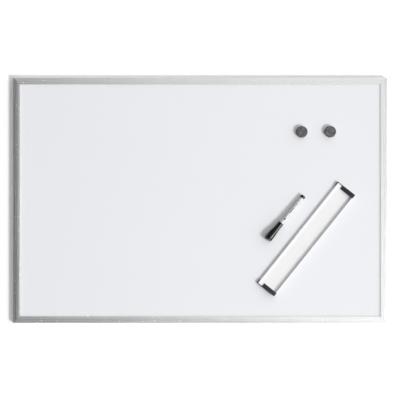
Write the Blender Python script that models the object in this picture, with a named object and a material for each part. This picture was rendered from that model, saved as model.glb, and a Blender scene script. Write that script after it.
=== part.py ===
"""Magnetic whiteboard of the 90 x 60 cm class, with two magnets, a capped marker and a pen tray.

Lengths are in metres and +Z is up. The wall is the plane y = 0 and the board faces -Y. The origin
is the middle of the board's outline, on the wall. Heights called "out" are measured from the wall
towards the viewer, and heights called "rise" from the writing surface, so both run along -Y.
"""

import math

import bmesh
import bpy
from mathutils import Matrix, Vector

# Clearances, and the lengths that helper shapes run past what they cut or join
FIT_GAP = 0.0003
CUT_OVERRUN = 0.002
JOIN_OVERLAP = 0.0005
MERGE_DISTANCE = 0.000001

# Facets of round shapes
SHARP_ANGLE = math.radians(35)
FILLET_STEPS = 4
CROWN_STEPS = 10
HOLE_STEPS = 20
SCREW_STEPS = 16
PEN_STEPS = 32
MAGNET_STEPS = 48

# Board outline
BOARD_WIDTH = 0.900
BOARD_HEIGHT = 0.590

# Panel layers, from the writing sheet back
SHEET_THICKNESS = 0.0004
CORE_THICKNESS = 0.0045
BACKING_THICKNESS = 0.0003

# Frame rail section
RAIL_FACE = 0.0167
RAIL_WALL = 0.0014
RAIL_WEB = 0.0012
RAIL_CHAMBER = 0.0070
RAIL_SLOT = 0.0040
RAIL_SLOT_LIP = 0.0015
RAIL_LIP_RISE = 0.0026
RAIL_LIP_WALL = 0.0013
RAIL_CREST = 0.0030
RAIL_CROWN_RISE = 0.0010
RAIL_EDGE_RADIUS = 0.0007
RAIL_OUTER_RADIUS = 0.0006
RAIL_BACK_LIP = 0.0030
RAIL_BACK_RECESS = 0.0046

# Corner keys and their grub screws
KEY_THICKNESS = 0.0030
KEY_LEG = 0.034
KEY_SCREW_INSET = 0.023
KEY_SCREW_RADIUS = 0.0019
SCREW_POINT = 0.0012
SCREW_POINT_RADIUS = 0.0009
SOCKET_SIDES = 6
SOCKET_RADIUS = 0.0011
SOCKET_DEPTH = 0.0020

# Wall hangers in the top rail's slot
HANGER_INSET = 0.110
HANGER_WIDTH = 0.030
HANGER_REACH = 0.042
HANGER_EDGE = 0.0010
HANGER_PLATE = 0.0012
HANGER_CORNER = 0.0040
HANGER_FOOT_LENGTH = 0.022
HANGER_FOOT_HEAD = 0.0025
KEYHOLE_DEPTH = 0.031
KEYHOLE_RADIUS = 0.0052
KEYHOLE_NECK = 0.0050
KEYHOLE_PITCH = 0.0100

# Rubber bumpers in the bottom rail's slot
BUMPER_INSET = 0.070
BUMPER_RADIUS = 0.0045
BUMPER_BULB_RADIUS = 0.0027
BUMPER_BULB = 0.0030
BUMPER_TIP_RADIUS = 0.0012

# Round magnets, placed from the board's right and top edges
MAGNET_RADIUS = 0.0140
MAGNET_HEIGHT = 0.0100
MAGNET_EDGE_RADIUS = 0.0016
MAGNET_DISH = 0.0004
MAGNET_RIM_WIDTH = 0.0014
MAGNET_DRAFT = 0.0005
DISC_RADIUS = 0.0100
DISC_THICKNESS = 0.0040
MAGNET_LEFT_FROM_SIDE = 0.2056
MAGNET_LEFT_FROM_TOP = 0.1303
MAGNET_RIGHT_FROM_SIDE = 0.1372
MAGNET_RIGHT_FROM_TOP = 0.1299

# Marker, placed by its middle from the board's right and bottom edges
MARKER_LENGTH = 0.138
MARKER_FROM_SIDE = 0.2455
MARKER_FROM_BOTTOM = 0.2530
MARKER_ANGLE = math.radians(50.2)
BARREL_RADIUS = 0.0056
BARREL_WALL = 0.0011
BARREL_SHOULDER = 0.0030
BARREL_CHAMFER = 0.0004
NOSE_RADIUS = 0.0046
NOSE_LENGTH = 0.022
NOSE_TAPER = 0.007
NOSE_TIP_RADIUS = 0.0027
NIB_RADIUS = 0.0017
NIB_EXPOSED = 0.0070
NIB_TIP_RADIUS = 0.0007
NIB_STEPS = 4
PLUG_HEAD = 0.0065
PLUG_SPIGOT = 0.010
PLUG_EDGE_RADIUS = 0.0010
CAP_LENGTH = 0.0497
CAP_END_RADIUS = 0.0092
CAP_HEAD = 0.0150
CAP_TAPER = 0.0195
CAP_MOUTH_RADIUS = 0.0068
CAP_EDGE_RADIUS = 0.0015
CAP_PARTITION = 0.0020
CAP_MAGNET_RADIUS = 0.0050
CAP_MAGNET_THICKNESS = 0.0040
FELT_RADIUS = 0.0074
FELT_THICKNESS = 0.0030
FELT_EDGE = 0.0005

# Pen tray, placed by its middle from the board's right and bottom edges
TRAY_LENGTH = 0.3112
TRAY_WIDTH = 0.0495
TRAY_FROM_SIDE = 0.1955
TRAY_FROM_BOTTOM = 0.2020
TRAY_ANGLE = math.radians(51.3)
TRAY_WALL = 0.0014
TRAY_FOOT_CLEARANCE = 0.0005
TRAY_RIM_WIDTH = 0.0045
TRAY_RIM_RISE = 0.0015
TRAY_RIM_RADIUS = 0.0006
TRAY_TROUGH_SPAN = 0.0106
TRAY_TROUGH_RISE = 0.0070
TROUGH_STEPS = 8
STRIP_THICKNESS = 0.0030
STRIP_SPACING = 0.0060

# Tray end caps
CAP_PLATE = 0.0015
CAP_BLOCK_LENGTH = 0.0087
CAP_BLOCK_INSET = 0.0127
CAP_BLOCK_LOW = 0.0013
CAP_HOOD = 0.0009
CAP_OVERHANG = 0.0008
CAP_EAR_LENGTH = 0.0095
CAP_EAR_THICKNESS = 0.0020
CAP_PLUG_LENGTH = 0.0090
CAP_CORNER = 0.0006
CAP_PLATE_PROUD = 0.0003

# Colour, roughness and metallic value of each finish
FINISHES = {
    "anodised aluminium": ((0.80, 0.80, 0.79), 0.34, 1.0),
    "white enamel": ((0.86, 0.87, 0.90), 0.16, 0.0),
    "grey fibreboard": ((0.42, 0.33, 0.24), 0.85, 0.0),
    "galvanised steel": ((0.55, 0.57, 0.59), 0.42, 1.0),
    "zinc casting": ((0.50, 0.50, 0.50), 0.50, 1.0),
    "black steel": ((0.05, 0.05, 0.05), 0.45, 1.0),
    "plated steel": ((0.62, 0.62, 0.60), 0.30, 1.0),
    "grey rubber": ((0.12, 0.12, 0.12), 0.80, 0.0),
    "graphite plastic": ((0.14, 0.14, 0.15), 0.50, 0.0),
    "ferrite": ((0.05, 0.05, 0.05), 0.65, 0.0),
    "nickel": ((0.66, 0.65, 0.61), 0.25, 1.0),
    "white plastic": ((0.84, 0.84, 0.82), 0.28, 0.0),
    "black plastic": ((0.01, 0.01, 0.01), 0.18, 0.0),
    "inked felt": ((0.02, 0.02, 0.02), 0.95, 0.0),
    "fibre": ((0.70, 0.70, 0.68), 0.90, 0.0),
    "grey felt": ((0.24, 0.24, 0.24), 0.95, 0.0),
    "white lacquer": ((0.88, 0.88, 0.88), 0.35, 0.0),
    "slate plastic": ((0.04, 0.05, 0.06), 0.45, 0.0),
    "magnetic rubber": ((0.06, 0.05, 0.05), 0.75, 0.0),
}

# Heights above the wall. The rails stand off it by a hanger's plate, which lies behind them
RAIL_STANDOFF = HANGER_PLATE + FIT_GAP
SHEET_STACK = SHEET_THICKNESS + FIT_GAP + CORE_THICKNESS + FIT_GAP + BACKING_THICKNESS
RAIL_DEPTH = RAIL_LIP_RISE + SHEET_STACK + RAIL_BACK_RECESS
RAIL_FRONT = RAIL_STANDOFF + RAIL_DEPTH
SURFACE_OUT = RAIL_FRONT - RAIL_LIP_RISE
CHAMBER_BACK = RAIL_STANDOFF + RAIL_SLOT_LIP
CROWN_FOOT = RAIL_FRONT - RAIL_CROWN_RISE
CHAMBER_FRONT = CROWN_FOOT - RAIL_WALL

# Places across the rail, from its outer edge
SLOT_CENTRE = RAIL_WALL + RAIL_CHAMBER / 2
GROOVE_BOTTOM = RAIL_WALL + RAIL_CHAMBER + RAIL_WEB

# Tray heights above the writing surface, and the place where its trough starts across the width
TRAY_UNDERSIDE = FIT_GAP + STRIP_THICKNESS + FIT_GAP
TRAY_FLOOR = TRAY_UNDERSIDE + TRAY_WALL
TRAY_TOP = TRAY_FLOOR + TRAY_TROUGH_RISE
TROUGH_START = TRAY_WIDTH - TRAY_WALL - TRAY_TROUGH_SPAN

# Each side's turn from the bottom, its place across and up, and its length
RAIL_SIDES = {
    "bottom": (0, 0, -BOARD_HEIGHT / 2, BOARD_WIDTH),
    "left": (math.pi / 2, -BOARD_WIDTH / 2, 0, BOARD_HEIGHT),
    "top": (math.pi, 0, BOARD_HEIGHT / 2, BOARD_WIDTH),
    "right": (-math.pi / 2, BOARD_WIDTH / 2, 0, BOARD_HEIGHT),
}

# Each corner's turn from the bottom left, and its place across and up
CORNERS = {
    "bottom_left": (0, -BOARD_WIDTH / 2, -BOARD_HEIGHT / 2),
    "top_left": (math.pi / 2, -BOARD_WIDTH / 2, BOARD_HEIGHT / 2),
    "top_right": (math.pi, BOARD_WIDTH / 2, BOARD_HEIGHT / 2),
    "bottom_right": (-math.pi / 2, BOARD_WIDTH / 2, -BOARD_HEIGHT / 2),
}

# Directions of an outline's first and second axes; a solid grows along their cross product
ALONG_RAIL = (Vector((0, 0, 1)), Vector((0, -1, 0)))
OUT_OF_WALL = (Vector((1, 0, 0)), Vector((0, 0, 1)))
ALONG_TRAY = (Vector((0, 0, -1)), Vector((0, -1, 0)))
TURN_TO_OUT = Matrix.Rotation(math.pi / 2, 4, "X")


def clear_scene():
    """Removes every object that the file holds."""
    for item in list(bpy.data.objects):
        bpy.data.objects.remove(item, do_unlink=True)


def new_material(name, finish):
    """A Principled material of its own for one piece."""
    colour, roughness, metallic = FINISHES[finish]
    material = bpy.data.materials.new(name)
    material.use_nodes = True
    shader = material.node_tree.nodes["Principled BSDF"]
    shader.inputs["Base Color"].default_value = (*colour, 1.0)
    shader.inputs["Roughness"].default_value = roughness
    shader.inputs["Metallic"].default_value = metallic
    material.diffuse_color = (*colour, 1.0)
    return material


def new_object(name, bm, parent, matrix):
    """An object that holds the shape, placed by matrix under its parent."""
    mesh = bpy.data.meshes.new(name)
    bm.to_mesh(mesh)
    bm.free()
    mesh.shade_smooth()
    mesh.set_sharp_from_angle(angle=SHARP_ANGLE)
    item = bpy.data.objects.new(name, mesh)
    bpy.context.scene.collection.objects.link(item)
    item.parent = parent
    item.matrix_local = matrix
    return item


def add_piece(name, bm, finish, parent=None, matrix=Matrix()):
    """One piece of the board, with its material."""
    piece = new_object(name, bm, parent, matrix)
    piece.data.materials.append(new_material(name, finish))
    return piece


def add_empty(name, matrix, parent=None):
    """The axis or the seat that a group of pieces is placed by."""
    empty = bpy.data.objects.new(name, None)
    bpy.context.scene.collection.objects.link(empty)
    empty.parent = parent
    empty.matrix_local = matrix
    return empty


def shape_with(piece, label, bm, operation):
    """Cuts the shape out of the piece, or joins it on, in the piece's own space."""
    helper = new_object(f"{piece.name}_{label}", bm, piece, Matrix())
    helper.hide_render = True
    helper.display_type = "WIRE"
    modifier = piece.modifiers.new(label, "BOOLEAN")
    modifier.operation = operation
    modifier.solver = "EXACT"
    modifier.object = helper


def prism(outline, low, high, axes):
    """A straight solid with this outline, from low to high along the cross product of its axes."""
    first, second = axes
    third = first.cross(second)
    bm = bmesh.new()
    corners = [bm.verts.new(first * a + second * b + third * low) for a, b in outline]
    face = bm.faces.new(corners)
    grown = bmesh.ops.extrude_face_region(bm, geom=[face])["geom"]
    moved = [item for item in grown if isinstance(item, bmesh.types.BMVert)]
    bmesh.ops.translate(bm, verts=moved, vec=third * (high - low))
    bmesh.ops.recalc_face_normals(bm, faces=bm.faces)
    return bm


def turned(profile, steps, ring=False):
    """A solid turned about Z from (radius, height) points. A ring's profile closes on itself."""
    bm = bmesh.new()
    points = [bm.verts.new((radius, 0, height)) for radius, height in profile]
    lines = [bm.edges.new(pair) for pair in zip(points, points[1:])]
    if ring:
        lines.append(bm.edges.new((points[-1], points[0])))
    bmesh.ops.spin(
        bm,
        geom=points + lines,
        cent=(0, 0, 0),
        axis=(0, 0, 1),
        angle=math.tau,
        steps=steps,
        use_merge=True,
    )
    bmesh.ops.remove_doubles(bm, verts=bm.verts, dist=MERGE_DISTANCE)
    bmesh.ops.recalc_face_normals(bm, faces=bm.faces)
    return bm


def arc(centre, radii, start, end, steps):
    """Points on an elliptical arc about centre, both ends included."""
    points = []
    for step in range(steps + 1):
        angle = start + (end - start) * step / steps
        points.append((centre[0] + radii[0] * math.cos(angle), centre[1] + radii[1] * math.sin(angle)))
    return points


def rounded(corners):
    """The outline through (a, b, radius) corners, each rounded to its radius."""
    outline = []
    for index, (a, b, radius) in enumerate(corners):
        corner = Vector((a, b))
        if radius == 0:
            outline.append((a, b))
            continue
        before = (Vector(corners[index - 1][:2]) - corner).normalized()
        after = (Vector(corners[(index + 1) % len(corners)][:2]) - corner).normalized()
        half = before.angle(after) / 2
        centre = corner + (before + after).normalized() * radius / math.sin(half)
        first = corner + before * radius / math.tan(half) - centre
        last = corner + after * radius / math.tan(half) - centre
        sweep = math.copysign(math.pi - 2 * half, first.x * last.y - first.y * last.x)
        for step in range(FILLET_STEPS + 1):
            angle = sweep * step / FILLET_STEPS
            cosine, sine = math.cos(angle), math.sin(angle)
            outline.append(
                (
                    centre.x + first.x * cosine - first.y * sine,
                    centre.y + first.x * sine + first.y * cosine,
                )
            )
    return outline


def rectangle(low_a, high_a, low_b, high_b, radius=0):
    """The outline of a rectangle, with its corners rounded if a radius is given."""
    corners = [(low_a, low_b), (high_a, low_b), (high_a, high_b), (low_a, high_b)]
    return rounded([(a, b, radius) for a, b in corners])


def circle(centre, radius, steps):
    """A regular polygon with its corners on the circle."""
    return arc(centre, (radius, radius), 0, math.tau, steps)[:-1]


def rail_section():
    """The rail's outline as (inward, out) points. Its chamber is open to the rear along the slot."""
    crown_span = RAIL_FACE - RAIL_CREST
    crown_radii = (crown_span, RAIL_CROWN_RISE)
    crown = arc((crown_span, CROWN_FOOT), crown_radii, math.pi, math.pi / 2, CROWN_STEPS)
    lip_inner = RAIL_FACE - RAIL_LIP_WALL
    lip_foot = SURFACE_OUT + FIT_GAP
    back_lip_front = SURFACE_OUT - SHEET_STACK - FIT_GAP
    back_lip_back = back_lip_front - RAIL_LIP_WALL
    slot_outer = SLOT_CENTRE - RAIL_SLOT / 2
    slot_inner = SLOT_CENTRE + RAIL_SLOT / 2
    chamber_inner = RAIL_WALL + RAIL_CHAMBER
    corners = [(0, RAIL_STANDOFF, RAIL_OUTER_RADIUS)]
    corners += [(a, b, 0) for a, b in crown]
    corners += [
        (RAIL_FACE, RAIL_FRONT, RAIL_EDGE_RADIUS),
        (RAIL_FACE, lip_foot, 0),
        (lip_inner, lip_foot, 0),
        (lip_inner, RAIL_FRONT - RAIL_LIP_WALL, 0),
        (GROOVE_BOTTOM, RAIL_FRONT - RAIL_LIP_WALL, 0),
        (GROOVE_BOTTOM, back_lip_front, 0),
        (GROOVE_BOTTOM + RAIL_BACK_LIP, back_lip_front, 0),
        (GROOVE_BOTTOM + RAIL_BACK_LIP, back_lip_back, 0),
        (GROOVE_BOTTOM, back_lip_back, 0),
        (GROOVE_BOTTOM, RAIL_STANDOFF, 0),
        (slot_inner, RAIL_STANDOFF, 0),
        (slot_inner, CHAMBER_BACK, 0),
        (chamber_inner, CHAMBER_BACK, 0),
        (chamber_inner, CHAMBER_FRONT, 0),
        (RAIL_WALL, CHAMBER_FRONT, 0),
        (RAIL_WALL, CHAMBER_BACK, 0),
        (slot_outer, CHAMBER_BACK, 0),
        (slot_outer, RAIL_STANDOFF, 0),
    ]
    return rounded(corners)


def side_matrix(angle, x, z):
    """Turns a shape made for the bottom edge or corner to another one, at its place from the centre."""
    return Matrix.Translation((x, 0, z)) @ Matrix.Rotation(angle, 4, "Y")


def build_rails():
    """Four mitred extrusions. Each mitre plane stands back by half the gap between two rails."""
    section = rail_section()
    setback = FIT_GAP / math.sqrt(2)
    for side, (angle, x, z, length) in RAIL_SIDES.items():
        half = length / 2
        bm = prism(section, -half, half, ALONG_RAIL)
        for vert in bm.verts:
            inward = vert.co.z
            vert.co.x -= math.copysign(inward + setback, vert.co.x)
        add_piece(f"frame_rail_{side}", bm, "anodised aluminium", matrix=side_matrix(angle, x, z))


def build_panel():
    """The writing sheet, its core and the backing sheet, seated in the rails' groove."""
    half_width = BOARD_WIDTH / 2 - GROOVE_BOTTOM - FIT_GAP
    half_height = BOARD_HEIGHT / 2 - GROOVE_BOTTOM - FIT_GAP
    outline = rectangle(-half_width, half_width, -half_height, half_height)
    layers = (
        ("writing_sheet", SHEET_THICKNESS, "white enamel"),
        ("core_board", CORE_THICKNESS, "grey fibreboard"),
        ("backing_sheet", BACKING_THICKNESS, "galvanised steel"),
    )
    front = SURFACE_OUT
    for name, thickness, finish in layers:
        add_piece(name, prism(outline, front - thickness, front, OUT_OF_WALL), finish)
        front -= thickness + FIT_GAP


def build_corner(corner, angle, x, z):
    """An L-shaped key in the chambers of two rails, and the grub screw that locks each leg."""
    matrix = side_matrix(angle, x, z)
    near = RAIL_WALL + FIT_GAP
    far = RAIL_WALL + RAIL_CHAMBER - FIT_GAP
    back = CHAMBER_BACK + FIT_GAP
    front = back + KEY_THICKNESS
    outline = [(near, near), (KEY_LEG, near), (KEY_LEG, far), (far, far), (far, KEY_LEG), (near, KEY_LEG)]
    key = add_piece(
        f"corner_key_{corner}", prism(outline, back, front, OUT_OF_WALL), "zinc casting", matrix=matrix
    )
    places = {"along": (KEY_SCREW_INSET, SLOT_CENTRE), "up": (SLOT_CENTRE, KEY_SCREW_INSET)}
    for leg, place in places.items():
        hole = circle(place, KEY_SCREW_RADIUS + FIT_GAP, HOLE_STEPS)
        hole_solid = prism(hole, back - CUT_OVERRUN, front + CUT_OVERRUN, OUT_OF_WALL)
        shape_with(key, f"hole_{leg}", hole_solid, "DIFFERENCE")
        build_grub_screw(f"grub_screw_{corner}_{leg}", matrix, place, back)


def build_grub_screw(name, matrix, place, back):
    """A grub screw whose point bears on the front of the rail's chamber."""
    tip = CHAMBER_FRONT - FIT_GAP
    profile = [
        (0, back),
        (KEY_SCREW_RADIUS, back),
        (KEY_SCREW_RADIUS, tip - SCREW_POINT),
        (SCREW_POINT_RADIUS, tip),
        (0, tip),
    ]
    bm = turned(profile, SCREW_STEPS)
    bmesh.ops.transform(bm, matrix=TURN_TO_OUT, verts=bm.verts)
    seat = matrix @ Matrix.Translation((place[0], 0, place[1]))
    screw = add_piece(name, bm, "black steel", matrix=seat)
    hexagon = circle((0, 0), SOCKET_RADIUS, SOCKET_SIDES)
    socket = prism(hexagon, back - CUT_OVERRUN, back + SOCKET_DEPTH, OUT_OF_WALL)
    shape_with(screw, "socket", socket, "DIFFERENCE")


def keyhole_outline():
    """A round entry with a narrower neck above it, as (across, down) points."""
    neck_radius = KEYHOLE_NECK / 2
    meet = math.asin(neck_radius / KEYHOLE_RADIUS)
    entry = arc(
        (0, KEYHOLE_DEPTH),
        (KEYHOLE_RADIUS, KEYHOLE_RADIUS),
        -math.pi / 2 + meet,
        3 * math.pi / 2 - meet,
        HOLE_STEPS,
    )
    neck_end = (0, KEYHOLE_DEPTH - KEYHOLE_PITCH)
    neck = arc(neck_end, (neck_radius, neck_radius), math.pi, math.tau, HOLE_STEPS // 2)
    return entry + neck


def build_hangers():
    """Keyhole plates whose T-shaped foot slides along the top rail's slot."""
    across = HANGER_WIDTH / 2
    plate_outline = rectangle(-across, across, HANGER_EDGE, HANGER_REACH, HANGER_CORNER)
    neck = RAIL_SLOT / 2 - FIT_GAP
    head = RAIL_CHAMBER / 2 - FIT_GAP
    head_back = CHAMBER_BACK + FIT_GAP
    head_front = head_back + HANGER_FOOT_HEAD
    foot_outline = [
        (SLOT_CENTRE - neck, HANGER_PLATE - JOIN_OVERLAP),
        (SLOT_CENTRE + neck, HANGER_PLATE - JOIN_OVERLAP),
        (SLOT_CENTRE + neck, head_back),
        (SLOT_CENTRE + head, head_back),
        (SLOT_CENTRE + head, head_front),
        (SLOT_CENTRE - head, head_front),
        (SLOT_CENTRE - head, head_back),
        (SLOT_CENTRE - neck, head_back),
    ]
    foot_half = HANGER_FOOT_LENGTH / 2
    for side, sign in (("left", -1), ("right", 1)):
        place = sign * (BOARD_WIDTH / 2 - HANGER_INSET)
        axis = add_empty(f"hanger_{side}_slide", side_matrix(math.pi, place, BOARD_HEIGHT / 2))
        plate = prism(plate_outline, 0, HANGER_PLATE, OUT_OF_WALL)
        hanger = add_piece(f"wall_hanger_{side}", plate, "plated steel", axis)
        keyhole = prism(keyhole_outline(), -CUT_OVERRUN, HANGER_PLATE + CUT_OVERRUN, OUT_OF_WALL)
        shape_with(hanger, "keyhole", keyhole, "DIFFERENCE")
        foot = prism(foot_outline, -foot_half, foot_half, ALONG_RAIL)
        shape_with(hanger, "foot", foot, "UNION")


def build_bumpers():
    """Push-in rubber bumpers that keep the bottom rail off the wall."""
    neck = RAIL_SLOT / 2 - FIT_GAP
    pad = RAIL_STANDOFF - FIT_GAP
    bulb_back = CHAMBER_BACK + FIT_GAP
    profile = [
        (0, 0),
        (BUMPER_RADIUS, 0),
        (BUMPER_RADIUS, pad),
        (neck, pad),
        (neck, bulb_back),
        (BUMPER_BULB_RADIUS, bulb_back),
        (BUMPER_TIP_RADIUS, bulb_back + BUMPER_BULB),
        (0, bulb_back + BUMPER_BULB),
    ]
    for side, sign in (("left", -1), ("right", 1)):
        bm = turned(profile, HOLE_STEPS)
        bmesh.ops.transform(bm, matrix=TURN_TO_OUT, verts=bm.verts)
        place = (sign * (BOARD_WIDTH / 2 - BUMPER_INSET), 0, SLOT_CENTRE - BOARD_HEIGHT / 2)
        add_piece(f"wall_bumper_{side}", bm, "grey rubber", matrix=Matrix.Translation(place))


def surface_seat(from_side, height):
    """A seat on the writing surface, from the board's right edge and at this height from its middle."""
    return Matrix.Translation((BOARD_WIDTH / 2 - from_side, -SURFACE_OUT, height))


def build_magnets():
    """Two round magnets: a moulded shell with a ferrite disc in its pocket."""
    edge_out = MAGNET_HEIGHT - MAGNET_EDGE_RADIUS
    top_radius = MAGNET_RADIUS - MAGNET_DRAFT
    edge_centre = (top_radius - MAGNET_EDGE_RADIUS, edge_out)
    edge = arc(edge_centre, (MAGNET_EDGE_RADIUS, MAGNET_EDGE_RADIUS), 0, math.pi / 2, FILLET_STEPS)
    dish_radius = edge_centre[0] - MAGNET_RIM_WIDTH
    pocket_radius = DISC_RADIUS + FIT_GAP
    pocket_top = FIT_GAP + DISC_THICKNESS + FIT_GAP
    shell_profile = [(0, pocket_top), (pocket_radius, pocket_top), (pocket_radius, FIT_GAP)]
    shell_profile += [(MAGNET_RADIUS, FIT_GAP)] + edge
    shell_profile += [(dish_radius, MAGNET_HEIGHT - MAGNET_DISH), (0, MAGNET_HEIGHT - MAGNET_DISH)]
    disc_top = FIT_GAP + DISC_THICKNESS
    disc_profile = [(0, FIT_GAP), (DISC_RADIUS, FIT_GAP), (DISC_RADIUS, disc_top), (0, disc_top)]
    places = {
        "left": (MAGNET_LEFT_FROM_SIDE, BOARD_HEIGHT / 2 - MAGNET_LEFT_FROM_TOP),
        "right": (MAGNET_RIGHT_FROM_SIDE, BOARD_HEIGHT / 2 - MAGNET_RIGHT_FROM_TOP),
    }
    for side, place in places.items():
        axis = add_empty(f"magnet_{side}_pull", surface_seat(*place) @ TURN_TO_OUT)
        shell = turned(shell_profile, MAGNET_STEPS)
        add_piece(f"magnet_{side}_shell", shell, "graphite plastic", axis)
        disc = turned(disc_profile, MAGNET_STEPS)
        add_piece(f"magnet_{side}_disc", disc, "ferrite", axis)


def marker_axis():
    """The marker's frame: +Z runs from the cap's end to the plug, and z = 0 is the felt's face.

    The cap's thick head and the end plug both lie on the writing surface, so the axis leans."""
    contact_cap = FELT_THICKNESS + FIT_GAP + CAP_HEAD
    contact_plug = MARKER_LENGTH - PLUG_EDGE_RADIUS
    lean = math.atan((CAP_END_RADIUS - BARREL_RADIUS) / (contact_plug - contact_cap))
    level = math.cos(lean)
    along = Vector((math.cos(MARKER_ANGLE) * level, math.sin(lean), math.sin(MARKER_ANGLE) * level))
    rise = FIT_GAP + CAP_END_RADIUS * level + contact_cap * math.sin(lean)
    middle = surface_seat(MARKER_FROM_SIDE, MARKER_FROM_BOTTOM - BOARD_HEIGHT / 2).translation
    level_half = Vector((along.x, 0, along.z)) * MARKER_LENGTH / 2
    start = middle - level_half - Vector((0, rise, 0))
    return Matrix.Translation(start) @ along.to_track_quat("Z", "Y").to_matrix().to_4x4()


def build_marker():
    """The marker's barrel with its nose, nib, ink reservoir and end plug, and the cap over the nose."""
    axis = add_empty("marker_pull", marker_axis())
    cap_start = FELT_THICKNESS + FIT_GAP
    mouth = cap_start + CAP_LENGTH
    front = mouth + FIT_GAP
    barrel_end = MARKER_LENGTH - PLUG_HEAD - FIT_GAP
    bore = BARREL_RADIUS - BARREL_WALL
    bore_start = front + BARREL_SHOULDER
    nib_bore = NIB_RADIUS + FIT_GAP
    nose_tip = front - NOSE_LENGTH
    spigot_start = barrel_end - PLUG_SPIGOT
    barrel = [
        (nib_bore, nose_tip),
        (NOSE_TIP_RADIUS, nose_tip),
        (NOSE_RADIUS, nose_tip + NOSE_TAPER),
        (NOSE_RADIUS, front),
        (BARREL_RADIUS - BARREL_CHAMFER, front),
        (BARREL_RADIUS, front + BARREL_CHAMFER),
        (BARREL_RADIUS, barrel_end),
        (bore, barrel_end),
        (bore, bore_start),
        (nib_bore, bore_start),
    ]
    add_piece("marker_barrel", turned(barrel, PEN_STEPS, ring=True), "white plastic", axis)
    nib_tip = nose_tip - NIB_EXPOSED
    tip_arc = arc(
        (NIB_TIP_RADIUS, nib_tip + NIB_RADIUS),
        (NIB_RADIUS - NIB_TIP_RADIUS, NIB_RADIUS),
        -math.pi / 2,
        0,
        NIB_STEPS,
    )
    nib = [(0, nib_tip)] + tip_arc + [(NIB_RADIUS, bore_start), (0, bore_start)]
    add_piece("marker_nib", turned(nib, SCREW_STEPS), "inked felt", axis)
    fill = bore - FIT_GAP
    reservoir_start = bore_start + FIT_GAP
    reservoir_end = spigot_start - FIT_GAP
    reservoir = [(0, reservoir_start), (fill, reservoir_start), (fill, reservoir_end), (0, reservoir_end)]
    add_piece("ink_reservoir", turned(reservoir, PEN_STEPS), "fibre", axis)
    plug_edge = arc(
        (BARREL_RADIUS - PLUG_EDGE_RADIUS, MARKER_LENGTH - PLUG_EDGE_RADIUS),
        (PLUG_EDGE_RADIUS, PLUG_EDGE_RADIUS),
        0,
        math.pi / 2,
        FILLET_STEPS,
    )
    head_start = barrel_end + FIT_GAP
    plug = [(0, spigot_start), (fill, spigot_start), (fill, head_start), (BARREL_RADIUS, head_start)]
    plug += plug_edge + [(0, MARKER_LENGTH)]
    add_piece("marker_end_plug", turned(plug, PEN_STEPS), "black plastic", axis)
    build_marker_cap(axis, cap_start, mouth)


def build_marker_cap(marker_seat, start, mouth):
    """The cap with its thick head, the magnet in its end and the felt pad that wipes the board."""
    axis = add_empty("cap_pull", Matrix(), marker_seat)
    bore = NOSE_RADIUS + FIT_GAP
    pocket_radius = CAP_MAGNET_RADIUS + FIT_GAP
    pocket_end = start + CAP_MAGNET_THICKNESS + FIT_GAP
    bore_end = pocket_end + CAP_PARTITION
    head_end = start + CAP_HEAD
    edge = arc(
        (CAP_END_RADIUS - CAP_EDGE_RADIUS, start + CAP_EDGE_RADIUS),
        (CAP_EDGE_RADIUS, CAP_EDGE_RADIUS),
        -math.pi / 2,
        0,
        FILLET_STEPS,
    )
    cap = [(0, pocket_end), (pocket_radius, pocket_end), (pocket_radius, start)] + edge
    cap += [(CAP_END_RADIUS, head_end), (CAP_MOUTH_RADIUS, head_end + CAP_TAPER)]
    cap += [(CAP_MOUTH_RADIUS, mouth), (bore, mouth), (bore, bore_end), (0, bore_end)]
    add_piece("marker_cap", turned(cap, PEN_STEPS), "black plastic", axis)
    disc_end = start + CAP_MAGNET_THICKNESS
    disc = [(0, start), (CAP_MAGNET_RADIUS, start), (CAP_MAGNET_RADIUS, disc_end), (0, disc_end)]
    add_piece("marker_cap_magnet", turned(disc, PEN_STEPS), "nickel", axis)
    felt = [
        (0, 0),
        (FELT_RADIUS - FELT_EDGE, 0),
        (FELT_RADIUS, FELT_EDGE),
        (FELT_RADIUS, FELT_THICKNESS),
        (0, FELT_THICKNESS),
    ]
    add_piece("felt_eraser", turned(felt, PEN_STEPS), "grey felt", axis)


def trough_arc(offset):
    """The trough's curve moved outwards by offset, from the floor up to the lip's height."""
    centre = (TROUGH_START, TRAY_TOP)
    radii = (TRAY_TROUGH_SPAN + offset, TRAY_TROUGH_RISE + offset)
    return arc(centre, radii, -math.pi / 2, 0, TROUGH_STEPS)


def tray_section():
    """The tray's outline as (across, rise) points: a rim, a flat floor, the trough and its lip."""
    rim_top = TRAY_FLOOR + TRAY_RIM_RISE
    leg = TROUGH_START - TRAY_WALL
    corners = [
        (0, TRAY_FOOT_CLEARANCE, 0),
        (0, rim_top, TRAY_RIM_RADIUS),
        (TRAY_RIM_WIDTH, rim_top, TRAY_RIM_RADIUS),
        (TRAY_RIM_WIDTH, TRAY_FLOOR, 0),
    ]
    corners += [(a, b, 0) for a, b in trough_arc(0)]
    corners += [(a, b, 0) for a, b in reversed(trough_arc(TRAY_WALL))]
    corners += [
        (TROUGH_START, TRAY_FOOT_CLEARANCE, 0),
        (leg, TRAY_FOOT_CLEARANCE, 0),
        (leg, TRAY_UNDERSIDE, 0),
        (TRAY_WALL, TRAY_UNDERSIDE, 0),
        (TRAY_WALL, TRAY_FOOT_CLEARANCE, 0),
    ]
    return rounded(corners)


def along_tray(outline, end, near, far):
    """A prism between two distances from the tray's middle, towards one end (-1 or 1)."""
    low, high = sorted((end * near, end * far))
    return prism([(a - TRAY_WIDTH / 2, b) for a, b in outline], low, high, ALONG_TRAY)


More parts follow.
